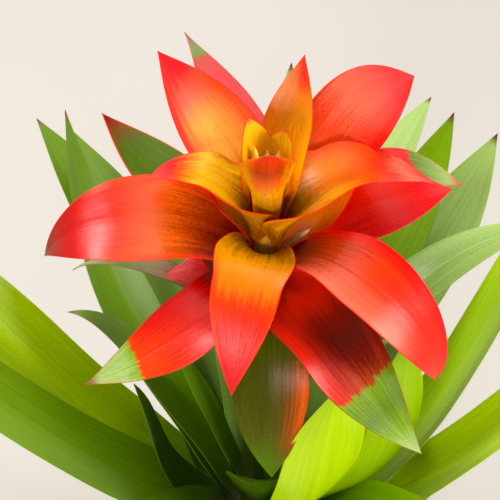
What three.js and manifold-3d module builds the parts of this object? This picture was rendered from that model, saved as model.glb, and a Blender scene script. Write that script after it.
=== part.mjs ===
// A guzmania in flower, rooted in a moss ball bound with twine. Millimetres, +Z up.
// The origin is the middle of the small flat spot that the ball stands on.
import * as THREE from 'three';
import { mergeVertices } from 'three/addons/utils/BufferGeometryUtils.js';
import Module from 'manifold-3d';

const wasm = await Module();
wasm.setup();

// Driving dimensions
const GAP = 0.3;               // clearance between pieces that touch
const BALL_R = 68;             // outside of the moss
const FLAT_R = 24;             // flat spot under the ball
const MOSS_THICK = 7;
const NECK_R = 27;             // opening in the moss round the plant
const FACET_ROOM = 0.9;        // between the stem and a blade's middle, so that facets clear it
const SOCKET_R = 12;           // foot of the stem in the soil
const SOCKET_DEPTH = 12;
const SCAPE_R = 4.7;           // flower stalk
const CAUDEX_LOW = { z: 127, r: 19.2 };    // leaf-bearing cone, lowest leaf
const CAUDEX_HIGH = { z: 163, r: 7.5 };    // and where it runs out in the stalk
const HEAD_Z = 345;            // height that the bracts' own heights count from
const STEM_TOP = 26;           // stalk's end above HEAD_Z
const LEAF_THICK = 1.0;
const BRACT_THICK = 0.9;
// buds in the heart: place beside the axis, and length
const BUDS = [[-2.4, 1.4, 30], [2.3, 1.6, 27], [0.1, 2.8, 25]];
const BUD_R = 2.1;
const BUD_LEAN = 2;            // degrees for each millimetre beside the axis
const BUD_FOOT = { low: 4.2, high: 3.6, tall: 3 };
const SIDE_BUD = { az: 2, z: 0, lean: 44, length: 17, r: 1.6 };
const TWINE_D = 2.4;
const TWINE_TURNS = 4;
const TWINE_TILT = 52;         // degrees from level
const TWINE_START = -70;       // where the knot is, seen from above
const TWINE_STEPS = 40;        // for each turn
const CLIMB = { near: 6, far: 20, high: 2.6 };    // where a turn passes over another
const KNOT_R = 3.4;
const TAILS = [-7, 6];         // degrees round from the knot
const TAIL_DROP = 0.24;        // as a part of the ball's radius
const BRACT_STEPS = 8;         // facets along a bract
const LEAF_STEPS = 9;
const STEM_SIDES = 20;
const BALL_SIDES = 24;
const BUD_SIDES = 6;
const BUD_FOOT_SIDES = 8;
const WIDE_STEPS = 4;          // and across any blade
const YOUNG = 10;              // leaves whose bases clasp less far round

const CENTRE_Z = Math.sqrt(BALL_R ** 2 - FLAT_R ** 2);
const TOP_OF_SOIL = CENTRE_Z + Math.sqrt((BALL_R - MOSS_THICK - GAP) ** 2 - NECK_R ** 2);

// Colours
const MOSS = 0x5c7a2e;
const SOIL = 0x3a2a1c;
const TWINE = 0xb08d57;
const STALK = 0x7d9a3c;
const DEEP_GREEN = 0x3f7a14;
const GREEN = 0x4f8f1c;
const LIME = 0x86b81a;
const SAGE = 0x6b8f4e;
const RED = 0xe6301a;
const ORANGE = 0xf08a14;
const YELLOW = 0xf2b705;
const CREAM = 0xe6c37a;
const OLIVE = 0x7d7a1e;

// Every leaf and bract is one blade. az is its direction seen from above, counted from +X
// towards +Y; z is the height where it leaves the stem, out and up are where its tip is,
// rise and fall its slope in degrees at the base and at the tip, and w its greatest width.
const BLADE = {
  side: 0,         // sideways bend of the tip, positive counterclockwise
  base: 0.7,       // width at the stem as a part of w
  bulge: 1.15,     // width of the sheath as a part of w
  peak: 0.42,      // place along the blade where it starts to narrow
  full: 2.2,       // roundness of the narrowing
  sharp: 1.15,     // sharpness of the tip
  h0: 0.42,        // pull of the base's slope on the arch
  h1: 0.42,        // pull of the tip's slope
  hold: 0.16,      // length of the sheath that clasps the stem
  open: 0.3,       // length over which it opens out
  cup: 80,         // angle of the section's arc where the sheath opens
  mid: 20,         // the same in the middle
  tipcup: 25,      // and at the tip
  tilt: 0,         // lean of the whole section
};
const LEAF = { base: 0.95, bulge: 1.05, peak: 0.55, full: 2.4, sharp: 1.1, hold: 0.08, open: 0.25,
  cup: 70, mid: 35, tipcup: 30, h0: 0.5, h1: 0.4 };
const YOUNG_BASE = { base: 0.6, bulge: 0.85 };

// Bracts, the youngest and innermost first. z and up count from HEAD_Z.
const bracts = [
  { id: 'cup_front', az: -88, z: 22, out: 12.5, up: 68, rise: 80, fall: 62, w: 22.5, color: ORANGE,
    base: 0.45, bulge: 0.55, cup: 110, mid: 70, tipcup: -30, peak: 0.78, hold: 0.25, full: 2.4, sharp: 0.6 },
  { id: 'cup_left', az: 131, z: 19, out: 11, up: 66.5, rise: 84, fall: 70, w: 19, color: YELLOW,
    base: 0.5, bulge: 0.6, cup: 100, mid: 60, full: 2.8, sharp: 0.95 },
  { id: 'cup_right', az: 44, z: 21, out: 10.5, up: 61, rise: 84, fall: 70, w: 18, color: YELLOW,
    base: 0.5, bulge: 0.55, cup: 110, mid: 60, full: 3, sharp: 0.85 },
  { id: 'upright', az: 65, z: 14, out: 33.5, up: 78, rise: 82, fall: 66, w: 20.5, color: ORANGE,
    cup: 90, mid: 40, peak: 0.55, full: 1.8 },
  { id: 'yellow_left', az: 166, z: 11, out: 49, up: 27, rise: 84, fall: -60, w: 25, color: YELLOW,
    cup: 120, mid: 45, bulge: 1.7, hold: 0.4, tilt: 10, open: 0.2, full: 1.8, h0: 0.66, h1: 0.5 },
  { id: 'orange_right', az: 20, z: 8, out: 69, up: 21, rise: 76, fall: -42, w: 30, color: ORANGE,
    cup: 100, mid: 42, side: -8, bulge: 1.7, hold: 0.34, h0: 0.6, h1: 0.48, open: 0.25, tilt: -9 },
  { id: 'back_left', az: 115, z: 5, out: 70, up: 55, rise: 70, fall: 30, w: 31, color: RED,
    cup: 80, mid: 25, side: 15, tilt: -8 },
  { id: 'front', az: 252.5, z: 2, out: 52, up: -30, rise: 70, fall: -72, w: 28.5, color: RED,
    cup: 90, mid: 35, peak: 0.35, h0: 0.5, full: 1.6, side: 2, bulge: 1.15, tilt: -6, hold: 0.12 },
  { id: 'back_right', az: 49, z: 0, out: 79, up: 45, rise: 44, fall: -16, w: 33, color: RED,
    cup: 60, mid: 25, peak: 0.55, side: -10, full: 2.7, tilt: 24, h0: 0.46 },
  { id: 'front_right', az: -37, z: -8, out: 76, up: -41, rise: 68, fall: -105, w: 30, color: RED,
    cup: 50, mid: 20, side: 14, h0: 0.78, h1: 0.5, bulge: 0.66, tilt: 12,
    hold: 0.02, open: 0.2, base: 0.5 },
  { id: 'left', az: 178, z: -10, out: 91, up: -15, rise: 70, fall: -72, w: 38, color: RED,
    cup: 90, mid: 10, side: -6, h0: 0.5, bulge: 0.8, tilt: -16,
    hold: 0.02, open: 0.2, base: 0.5, peak: 0.45 },
  { id: 'right_low', az: 16.4, z: -12, out: 82.6, up: 2, rise: 60, fall: -20, w: 32, color: RED,
    cup: 80, mid: 20, side: 8, tilt: 14 },
  { id: 'back_tall', az: 92, z: -15, out: 89.5, up: 37, rise: 60, fall: 10, w: 25, color: RED,
    cup: 60, mid: 30, side: 31, full: 1.7, sharp: 1.3 },
  { id: 'front_left', az: 243, z: -18, out: 69.5, up: -35, rise: 54, fall: -40, w: 29, color: RED,
    cup: 80, mid: 10, side: -46, full: 1.7, tilt: 6 },
  { id: 'front_low', az: -60, z: -22, out: 82, up: -60, rise: 68, fall: -55, w: 34, color: RED,
    cup: 90, mid: 10, side: 26, full: 1.8 },
  { id: 'right_green', az: 36.5, z: -26, out: 95.8, up: -14, rise: 52, fall: -48, w: 27, color: RED,
    cup: 80, mid: 20, side: -12, tilt: 22, h0: 0.66 },
  { id: 'left_under', az: 172, z: -29, out: 42, up: -24, rise: 60, fall: -40, w: 18, color: RED,
    cup: 60, mid: 20 },
  { id: 'left_green', az: 138, z: -34, out: 98, up: 8, rise: 60, fall: 15, w: 33, color: GREEN,
    cup: 60, mid: 30, side: -5, tilt: 10 },
  { id: 'right_olive', az: -5, z: -39, out: 60, up: -50, rise: 62, fall: -30, w: 30, color: OLIVE,
    cup: 60, mid: 20 },
  { id: 'front_olive', az: -87, z: -43, out: 51, up: -89, rise: 68, fall: -80, w: 32, color: OLIVE,
    cup: 60, mid: 20, h0: 0.6 },
  { id: 'left_thin', az: 164, z: -50, out: 86, up: -42, rise: 62, fall: -54, w: 10, color: SAGE,
    cup: 60, mid: 40, full: 1.6, h0: 0.28 },
];

// Leaves, the youngest and innermost first. up counts from the floor, and the heights and
// radii of the bases follow from their order.
const leaves = [
  { az: 185, out: 38, up: 278, rise: 80, fall: 74, w: 26, color: DEEP_GREEN },
  { az: -25, out: 58, up: 300, rise: 40, fall: 92, w: 30, color: LIME, side: 20, tilt: -40 },
  { az: -98, out: 42, up: 235, rise: 84, fall: 50, w: 30, color: DEEP_GREEN },
  { az: -60, out: 48, up: 304, rise: 56, fall: 90, w: 45, color: LIME, side: 6, full: 3 },
  { az: 172, out: 86, up: 289, rise: 70, fall: -15, w: 22, color: GREEN, h0: 0.6, h1: 0.15 },
  { az: 26, out: 146, up: 288, rise: 80, fall: -20, w: 30, color: SAGE, tilt: -12 },
  { az: 158, out: 115, up: 335, rise: 68, fall: 74, w: 34, color: DEEP_GREEN, side: -50,
    full: 1.9 },
  { az: 100, out: 130, up: 320, rise: 78, fall: 55, w: 36, color: DEEP_GREEN },
  { az: 52, out: 143, up: 310, rise: 75, fall: 60, w: 36, color: GREEN },
  { az: -38, out: 160, up: 165, rise: 70, fall: -55, w: 40, color: GREEN, h0: 0.6 },
  { az: 226, out: 165, up: 175, rise: 66, fall: -50, w: 40, color: GREEN },
  { az: 128, out: 148, up: 295, rise: 71, fall: 45, w: 38, color: GREEN },
  { az: 45, out: 154, up: 300, rise: 66, fall: 62, w: 42, color: GREEN },
  { az: 184, out: 58, up: 250, rise: 46, fall: 76, w: 24, color: GREEN, side: -6 },
  { az: 0, out: 140, up: 310, rise: 40, fall: 60, w: 34, color: LIME, side: 90, h0: 0.4 },
  { az: 191, out: 175, up: 338, rise: 46, fall: 55, w: 42, color: GREEN, side: -30, h0: 0.45 },
  { az: 85, out: 157, up: 300, rise: 70, fall: 30, w: 34, color: GREEN },
  { az: -93, out: 160, up: 170, rise: 70, fall: -60, w: 40, color: GREEN, h0: 0.5 },
  { az: 62.4, out: 182, up: 272, rise: 55, fall: -10, w: 26, color: GREEN },
  { az: -16, out: 160, up: 305, rise: 44, fall: 50, w: 38, color: LIME, side: 60, h0: 0.45 },
  { az: 170.8, out: 184.6, up: 326, rise: 46, fall: 46, w: 44, color: GREEN, side: -20, h0: 0.45, tilt: -6 },
  { az: 128.6, out: 177, up: 280, rise: 58, fall: 20, w: 32, color: GREEN },
  { az: 244, out: 165, up: 160, rise: 62, fall: -60, w: 40, color: GREEN },
  { az: 76, out: 170, up: 285, rise: 46, fall: 0, w: 28, color: GREEN },
  { az: -39.4, out: 183, up: 152, rise: 50, fall: -45, w: 42, color: GREEN },
];

const UP = new THREE.Vector3(0, 0, 1);
const rad = THREE.MathUtils.degToRad;
const smooth = (a, b, x) => THREE.MathUtils.smoothstep(x, a, b);
const keyed = (keys, s) => keys.slice(1).reduce(
  (sum, [at, value], i) => sum + (value - keys[i][1]) * smooth(keys[i][0], at, s), keys[0][1]);

function bladeWidth(b, s) {
  const sheath = keyed([[0, b.base], [0.2, b.bulge], [Math.max(b.peak, 0.35), 1]], s);
  const past = THREE.MathUtils.clamp((s - b.peak) / (1 - b.peak), 0, 1);
  return b.w * sheath * Math.pow(Math.max(1 - Math.pow(past, b.full), 0), b.sharp);
}

// Middle surface of a blade that points along +X: s runs from base to tip, t from edge to edge.
function bladeSurface(b) {
  const start = new THREE.Vector3(b.r0, 0, b.z);
  const end = new THREE.Vector3(b.out, b.side, b.up);
  const chord = Math.hypot(b.out - b.r0, b.up - b.z);
  const leave = start.clone().add(new THREE.Vector3(
    Math.cos(rad(b.rise)), 0, Math.sin(rad(b.rise))).multiplyScalar(b.h0 * chord));
  const arrive = new THREE.Vector3(
    b.out - b.h1 * chord * Math.cos(rad(b.fall)), b.side / 3,
    b.up - b.h1 * chord * Math.sin(rad(b.fall)));
  const rib = new THREE.CubicBezierCurve3(start, leave, arrive, end);
  return (s, t) => {
    const at = rib.getPointAt(s);
    const along = rib.getTangentAt(s);
    const across = new THREE.Vector3(0, 1, 0).addScaledVector(along, -along.y).normalize();
    const inward = along.clone().cross(across);
    const width = bladeWidth(b, s);
    const clasp = Math.min(width * Math.max(along.z, 0.35) / Math.max(at.x, 3), rad(300));
    const free = rad(keyed([[b.hold, b.cup], [Math.max(b.hold + b.open, 0.65), b.mid],
      [1, b.tipcup]], s));
    const opened = smooth(b.hold, b.hold + b.open, s);
    let arc = clasp * (1 - opened) + free * opened;
    if (Math.abs(arc) < 0.001) arc = 0.001;
    const radius = width / arc;
    const lateral = radius * Math.sin(arc * t / 2);
    const normal = radius * (1 - Math.cos(arc * t / 2));
    const lean = rad(b.tilt) * smooth(0, 0.35, s);
    return at.addScaledVector(across, lateral * Math.cos(lean) - normal * Math.sin(lean))
      .addScaledVector(inward, lateral * Math.sin(lean) + normal * Math.cos(lean));
  };
}

// A closed blade: two faces with the same triangles, side walls, and one point at the tip.
// grow adds a margin all round, for the room that the blade needs in its neighbours.
function bladeGeometry(b, grow = 0) {
  const { long } = b;
  const wide = WIDE_STEPS;
  const thick = b.thick + 3 * grow;
  const surface = bladeSurface({ ...b, w: b.w + 4 * grow });
  const backward = -2 * grow;    // the room starts below the blade's own foot
  const positions = [];
  const index = [];
  const step = 0.004;            // for the slopes, along and across
  for (const side of [1, -1]) {
    for (let i = 0; i < long; i++) {
      for (let j = 0; j <= wide; j++) {
        const s = i / long;
        const t = 2 * j / wide - 1;
        const ds = surface(Math.min(s + step, 1), t).sub(surface(Math.max(s - step, 0), t));
        const dt = surface(s, t + step).sub(surface(s, t - step));
        const normal = ds.clone().cross(dt).normalize();
        const point = surface(s, t).addScaledVector(normal, side * thick / 2);
        if (i === 0) point.addScaledVector(ds.normalize(), backward);
        positions.push(...point.toArray());
      }
    }
  }
  const tip = positions.length / 3;
  positions.push(...surface(1, 0).toArray());
  const top = (i, j) => i * (wide + 1) + j;
  const under = (i, j) => top(i, j) + long * (wide + 1);
  for (let i = 0; i < long; i++) {
    for (let j = 0; j < wide; j++) {
      const last = i === long - 1;
      if (last) {
        index.push(top(i, j), tip, top(i, j + 1), under(i, j), under(i, j + 1), tip);
      } else {
        index.push(top(i, j), top(i + 1, j), top(i + 1, j + 1));
        index.push(top(i, j), top(i + 1, j + 1), top(i, j + 1));
        index.push(under(i, j), under(i + 1, j + 1), under(i + 1, j));
        index.push(under(i, j), under(i, j + 1), under(i + 1, j + 1));
      }
    }
    for (const [j, flip] of [[0, false], [wide, true]]) {
      const ring = i === long - 1
        ? [[top(i, j), under(i, j), tip]]
        : [[top(i, j), under(i, j), under(i + 1, j)], [top(i, j), under(i + 1, j), top(i + 1, j)]];
      for (const [a, c, d] of ring) index.push(...(flip ? [a, d, c] : [a, c, d]));
    }
  }
  for (let j = 0; j < wide; j++) {
    index.push(top(0, j), top(0, j + 1), under(0, j + 1), top(0, j), under(0, j + 1), under(0, j));
  }
  const geometry = new THREE.BufferGeometry();
  geometry.setAttribute('position', new THREE.Float32BufferAttribute(positions, 3));
  geometry.setIndex(index);
  return geometry;
}

// Booleans keep touching pieces apart.
function solid(geometry) {
  const merged = geometry.index && !geometry.attributes.normal ? geometry : geometry.clone();
  merged.deleteAttribute('normal');
  merged.deleteAttribute('uv');
  const welded = mergeVertices(merged, 1e-4);
  return new wasm.Manifold(new wasm.Mesh({
    numProp: 3,
    vertProperties: new Float32Array(welded.attributes.position.array),
    triVerts: new Uint32Array(welded.index.array),
  }));
}

function geometryOf(manifold) {
  const { vertProperties, triVerts } = manifold.getMesh();
  const geometry = new THREE.BufferGeometry();
  geometry.setAttribute('position', new THREE.BufferAttribute(vertProperties, 3));
  geometry.setIndex(new THREE.BufferAttribute(triVerts, 1));
  return geometry;
}

const largest = (manifold) => manifold.decompose()
  .reduce((best, body) => (body.volume() > best.volume() ? body : best));

const group = new THREE.Group();

function add(name, geometry, color, roughness = 0.8) {
  const material = new THREE.MeshStandardMaterial({ color, roughness, metalness: 0 });
  const mesh = new THREE.Mesh(geometry, material);
  mesh.name = name;
  group.add(mesh);
  return mesh;
}

// Blades
function leafBase(k) {
  const f = 1 - k / (leaves.length - 1);
  const top = CAUDEX_HIGH.z - 3;
  const z = CAUDEX_LOW.z + (top - CAUDEX_LOW.z) * f;
  return { z, r0: caudexRadius(z) + LEAF_THICK / 2 + FACET_ROOM };
}

function caudexRadius(z) {
  const f = (z - CAUDEX_LOW.z) / (CAUDEX_HIGH.z - CAUDEX_LOW.z);
  return THREE.MathUtils.lerp(CAUDEX_LOW.r, CAUDEX_HIGH.r, f);
}

const blades = [
  ...bracts.map((b) => ({ ...BLADE, ...b, z: HEAD_Z + b.z, up: HEAD_Z + b.up,
    r0: SCAPE_R + BRACT_THICK / 2 + FACET_ROOM, name: `bract_${b.id}`, thick: BRACT_THICK,
    long: BRACT_STEPS })),
  ...leaves.map((b, k) => ({ ...BLADE, ...LEAF, ...(k < YOUNG ? YOUNG_BASE : {}), ...b,
    ...leafBase(k), name: `leaf_${String(k + 1).padStart(2, '0')}`, thick: LEAF_THICK,
    long: LEAF_STEPS })),
];

// The young blades stand inside the older ones, so an older blade gives way where they meet.
function addBlades(rooms) {
  const kept = rooms.map((room) => ({ room, box: room.boundingBox() }));
  for (const b of blades) {
    const turn = rad(b.az);
    let body = solid(bladeGeometry(b).rotateZ(turn));
    const cutters = kept.filter((young) => boxesMeet(body.boundingBox(), young.box));
    for (const young of cutters) body = body.subtract(young.room);
    body = largest(body);
    const space = solid(bladeGeometry(b, GAP).rotateZ(turn));
    kept.push({ room: space, box: space.boundingBox() });
    const mesh = add(b.name, geometryOf(body).rotateZ(-turn), b.color, 0.45);
    mesh.rotation.z = turn;
  }
}

const boxesMeet = (a, b) => [0, 1, 2].every((k) => a.min[k] <= b.max[k] && b.min[k] <= a.max[k]);

// Twine: one length wound four times over the ball, each turn a quarter further round, so that
// it misses the neck and the flat spot. Where it meets an earlier turn it climbs over it.
function twineDirection(i) {
  const swing = 2 * Math.PI * i / (TWINE_STEPS * TWINE_TURNS);
  return new THREE.Vector3(1, 0, 0).applyAxisAngle(UP, 2 * Math.PI * i / TWINE_STEPS)
    .applyAxisAngle(new THREE.Vector3(1, 0, 0), rad(TWINE_TILT))
    .applyAxisAngle(UP, rad(TWINE_START) + swing);
}

function twineRoute() {
  const count = TWINE_STEPS * TWINE_TURNS;
  const neighbours = TWINE_STEPS / 5;
  const onBall = Array.from({ length: count }, (_, i) => twineDirection(i));
  return onBall.map((direction, i) => {
    let climb = 0;
    for (let j = 0; j < i - neighbours; j++) {
      if (j + count - i < neighbours) continue;
      const apart = direction.angleTo(onBall[j]) * BALL_R;
      climb = Math.max(climb, 1 - smooth(CLIMB.near, CLIMB.far, apart));
    }
    const radius = BALL_R + GAP + TWINE_D / 2 + CLIMB.high * climb;
    return direction.clone().multiplyScalar(radius).add(new THREE.Vector3(0, 0, CENTRE_Z));
  });
}

function addTwine() {
  const route = new THREE.CatmullRomCurve3(twineRoute(), true);
  const wound = new THREE.TubeGeometry(route, TWINE_STEPS * TWINE_TURNS, TWINE_D / 2, 5, true);
  const outward = twineDirection(0);
  const onKnot = (direction, lift) => direction.clone().setLength(BALL_R + GAP + lift)
    .add(new THREE.Vector3(0, 0, CENTRE_Z));
  const knot = onKnot(outward, KNOT_R);
  let tied = solid(wound).add(solid(
    new THREE.IcosahedronGeometry(KNOT_R, 1).translate(...knot.toArray())));
  for (const swing of TAILS) {
    const end = onKnot(outward.clone().applyAxisAngle(UP, rad(swing)).sub(
      new THREE.Vector3(0, 0, TAIL_DROP)), 2 * TWINE_D);
    const tail = new THREE.CylinderGeometry(TWINE_D / 2, TWINE_D / 2, knot.distanceTo(end), 5);
    const turn = new THREE.Quaternion().setFromUnitVectors(
      new THREE.Vector3(0, 1, 0), end.clone().sub(knot).normalize());
    const middle = knot.clone().lerp(end, 0.5);
    tied = tied.add(solid(tail.applyQuaternion(turn).translate(...middle.toArray())));
  }
  add('twine', geometryOf(tied), TWINE, 0.9);
}

// Stem: a foot in the soil, the cone that the leaves grow from, and the flower stalk.
function addStem() {
  const profile = [
    [0, TOP_OF_SOIL - SOCKET_DEPTH], [SOCKET_R, TOP_OF_SOIL - SOCKET_DEPTH],
    [SOCKET_R, TOP_OF_SOIL + GAP], [CAUDEX_LOW.r - 1.5, TOP_OF_SOIL + GAP],
    [CAUDEX_LOW.r, CAUDEX_LOW.z], [CAUDEX_HIGH.r, CAUDEX_HIGH.z],
    [SCAPE_R, CAUDEX_HIGH.z + 12], [SCAPE_R, HEAD_Z], [SCAPE_R, HEAD_Z + STEM_TOP - 4],
    [SCAPE_R - 1.5, HEAD_Z + STEM_TOP], [0, HEAD_Z + STEM_TOP],
  ];
  add('stem', lathe(profile, STEM_SIDES), STALK, 0.6);
  return solid(lathe(profile.map(([r, z]) => [r && r + GAP, z]), STEM_SIDES));
}

// Flowers: pointed buds that stand on the stalk inside the innermost bracts, and one that
// grows sideways out of the stalk between the right-hand bracts.
const budProfile = (length, r) => [
  [0, 0], [0.5 * r, 0], [0.85 * r, 0.25 * length], [r, 0.55 * length],
  [0.6 * r, 0.85 * length], [0, length]];

function budCluster(grow) {
  const foot = HEAD_Z + STEM_TOP + GAP;
  const { low, high, tall } = BUD_FOOT;
  let cluster = solid(lathe([
    [0, foot], [low + grow, foot], [high + grow, foot + tall], [0, foot + tall]], BUD_FOOT_SIDES));
  for (const [x, y, length] of BUDS) {
    const bud = lathe(budProfile(length + grow, BUD_R + grow), BUD_SIDES)
      .rotateX(rad(-BUD_LEAN * y)).rotateY(rad(BUD_LEAN * x)).translate(x, y, foot + tall / 3);
    cluster = cluster.add(solid(bud));
  }
  return cluster;
}

function sideBud(grow) {
  const { az, z, lean, length, r } = SIDE_BUD;
  return solid(lathe(budProfile(length + grow, r + grow), BUD_SIDES)
    .rotateY(rad(lean)).translate(SCAPE_R + GAP + 0.6, 0, HEAD_Z + z).rotateZ(rad(az)));
}

function addFlowers() {
  add('flower_buds', geometryOf(budCluster(0)), YELLOW, 0.5);
  add('side_bud', geometryOf(sideBud(0)), CREAM, 0.5);
  return [budCluster(GAP), sideBud(GAP)];
}

const lathe = (profile, sides) => new THREE.LatheGeometry(
  profile.map(([r, z]) => new THREE.Vector2(r, z)), sides).rotateX(Math.PI / 2);

// Round wall of the ball between two heights, from the top down or from the bottom up.
function arc(radius, from, to, steps) {
  return Array.from({ length: steps + 1 }, (_, i) => {
    const angle = THREE.MathUtils.lerp(Math.acos(from / radius), Math.acos(to / radius), i / steps);
    return [radius * Math.sin(angle), CENTRE_Z + radius * Math.cos(angle)];
  });
}

function addBall() {
  const inner = BALL_R - MOSS_THICK;
  const neckOut = Math.sqrt(BALL_R ** 2 - NECK_R ** 2);
  const neckIn = Math.sqrt(inner ** 2 - NECK_R ** 2);
  add('moss_cover', lathe([
    [0, 0], ...arc(BALL_R, -CENTRE_Z, neckOut, 12),
    ...arc(inner, neckIn, MOSS_THICK - CENTRE_Z, 9), [0, MOSS_THICK],
  ], BALL_SIDES), MOSS, 1);
  const core = inner - 2 * GAP;
  const hole = SOCKET_R + GAP;
  add('soil_ball', lathe([
    [0, MOSS_THICK + GAP], ...arc(core, MOSS_THICK + GAP - CENTRE_Z, TOP_OF_SOIL - CENTRE_Z, 9),
    [hole, TOP_OF_SOIL], [hole, TOP_OF_SOIL - SOCKET_DEPTH - GAP],
    [0, TOP_OF_SOIL - SOCKET_DEPTH - GAP],
  ], BALL_SIDES), SOIL, 1);
}

addBall();
addTwine();
addBlades([addStem(), ...addFlowers()]);

export default group;
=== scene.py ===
# A guzmania in flower, rooted in a moss ball bound with twine. Metres, +Z up.
import math
import random

import bpy
import numpy as np
from mathutils import Matrix, Vector


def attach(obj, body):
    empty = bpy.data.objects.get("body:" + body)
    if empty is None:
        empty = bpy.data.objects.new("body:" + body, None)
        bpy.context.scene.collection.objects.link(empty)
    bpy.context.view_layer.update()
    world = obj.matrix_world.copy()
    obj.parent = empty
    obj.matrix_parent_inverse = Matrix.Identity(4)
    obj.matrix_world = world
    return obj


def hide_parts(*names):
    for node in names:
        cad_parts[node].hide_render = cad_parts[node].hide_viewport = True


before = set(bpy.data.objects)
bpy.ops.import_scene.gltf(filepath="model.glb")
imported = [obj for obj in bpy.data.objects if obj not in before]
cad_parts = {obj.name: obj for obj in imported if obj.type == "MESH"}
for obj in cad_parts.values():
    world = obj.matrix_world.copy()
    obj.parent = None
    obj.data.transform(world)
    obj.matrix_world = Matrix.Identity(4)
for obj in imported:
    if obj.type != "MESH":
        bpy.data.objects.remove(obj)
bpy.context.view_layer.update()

# Driving dimensions in millimetres, as in the part's own source
MM = 0.001
GAP = 0.3
BALL_R = 68
FLAT_R = 24
MOSS_THICK = 7
NECK_R = 27
FACET_ROOM = 0.9
SOCKET_R = 12
SOCKET_DEPTH = 12
SCAPE_R = 4.7
CAUDEX_LOW = (127, 19.2)       # height and radius of the leaf-bearing cone at the lowest leaf
CAUDEX_HIGH = (163, 7.5)
HEAD_Z = 345
STEM_TOP = 26
LEAF_THICK = 1.0
BRACT_THICK = 0.9
BUDS = [(-2.4, 1.4, 30), (2.3, 1.6, 27), (0.1, 2.8, 25)]
BUD_R = 2.1
BUD_LEAN = 2
BUD_FOOT = (4.2, 3.6, 3)       # lower radius, upper radius and height
SIDE_BUD = {"az": 2, "z": 0, "lean": 44, "length": 17, "r": 1.6}
TWINE_D = 2.4
TWINE_TURNS = 4
TWINE_TILT = 52
TWINE_START = -70
CLIMB = (6, 20, 2.6)           # near, far and height where a turn passes over another
KNOT_R = 3.4
TAILS = (-7, 6)
TAIL_DROP = 0.24
YOUNG = 10

CENTRE_Z = math.sqrt(BALL_R ** 2 - FLAT_R ** 2)
TOP_OF_SOIL = CENTRE_Z + math.sqrt((BALL_R - MOSS_THICK - GAP) ** 2 - NECK_R ** 2)

# Fineness of the meshes
BLADE_LONG = 96
BLADE_WIDE = 22
EDGE_THIN = 0.45               # a blade's thickness at its edge as a part of that in the middle
TIP_THINNING = 0.45            # and the part of it that is gone at the tip
RIM_OUT = 0.35                 # how far a blade's rounded rim stands out, in thicknesses
CHANNEL = (0.35, 0.13)         # depth and half width of the channel along a blade
BUD_ROWS = 30
BUD_SIDES = 36
SCAR_GAP = 26                  # between the rings on the flower stalk
MOSS_ROWS = 110
MOSS_SIDES = 200
CUSHIONS = ((2.6, 330, 4, 9.5), (1.0, 1500, 5, 4))     # height, number, seed and reach
MOSS_LOW = 1.6                 # how far its lowest places lie under the ball's own radius
TUFTS = 5200
TUFT_LEAVES = 5
SHOOT_LEAN = (0.4, 1.1)
SHOOT_HALF_WIDTH = (0.28, 0.45)
SHOOT_LENGTH = (1.6, 3.2)
TWINE_STEPS = 2400
TWISTS = 200                   # turns of the strands along the wound twine
STRAND_SIDES = 6
STRAND_OUT = 0.62
STRAND_R = 0.66
KNOT_SIZE = 1.25
KNOT_STEPS = 90
KNOT_TWISTS = 6
TAIL_TWISTS = 2.4
TAIL_FIBRES = 14
FIBRE_R = 0.1
LOOSE_FIBRES = 500
SPECK_ROOM = (2.0, 3.4)        # millimetres for each speck's cell, across and along
GRIT_ROOM = (0.7, 1.6)         # and for the fine grain of a blade's colour

# Camera: it looks at the heart of the plant from the front and above.
LOOK_AT = (-6.4, 0, HEAD_Z)
CAMERA_ELEVATION = 50
CAMERA_AWAY = 640
CAMERA_LENS = 115.2

# Light: soft boxes round the plant, each with its azimuth, elevation, distance, size and watts.
LAMPS = [
    ("overhead", 100, 72, 2.8, 3.2, 80),
    ("left_window", 152, 33, 3.2, 0.9, 64),
    ("right_window", -10, 14, 3.2, 1.2, 82),
    ("front_window", -104, 12, 2.6, 0.7, 42),
]
LAMP_COLOR = 0xfffdf9
ROOM_COLOR = 0xfffaf4
ROOM_LIGHT = 0.3
FLOOR_SIDE = 6.0

# Every leaf and bract is one blade. az is its direction seen from above, z the height where it
# leaves the stem, out and up are where its tip is, rise and fall its slope in degrees at the
# base and at the tip, and w its greatest width. side is how far its tip lies to one side, tilt how
# it leans over, and h0 and h1 how long it keeps its first and last slope. base, bulge, peak, full
# and sharp shape its outline, hold and open its sheath, and cup, mid and tipcup its hollow.
BLADE = dict(side=0, base=0.7, bulge=1.15, peak=0.42, full=2.2, sharp=1.15, h0=0.42, h1=0.42,
             hold=0.16, open=0.3, cup=80, mid=20, tipcup=25, tilt=0)
LEAF = dict(base=0.95, bulge=1.05, peak=0.55, full=2.4, sharp=1.1, hold=0.08, open=0.25,
            cup=70, mid=35, tipcup=30, h0=0.5, h1=0.4)
YOUNG_BASE = dict(base=0.6, bulge=0.85)

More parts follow.
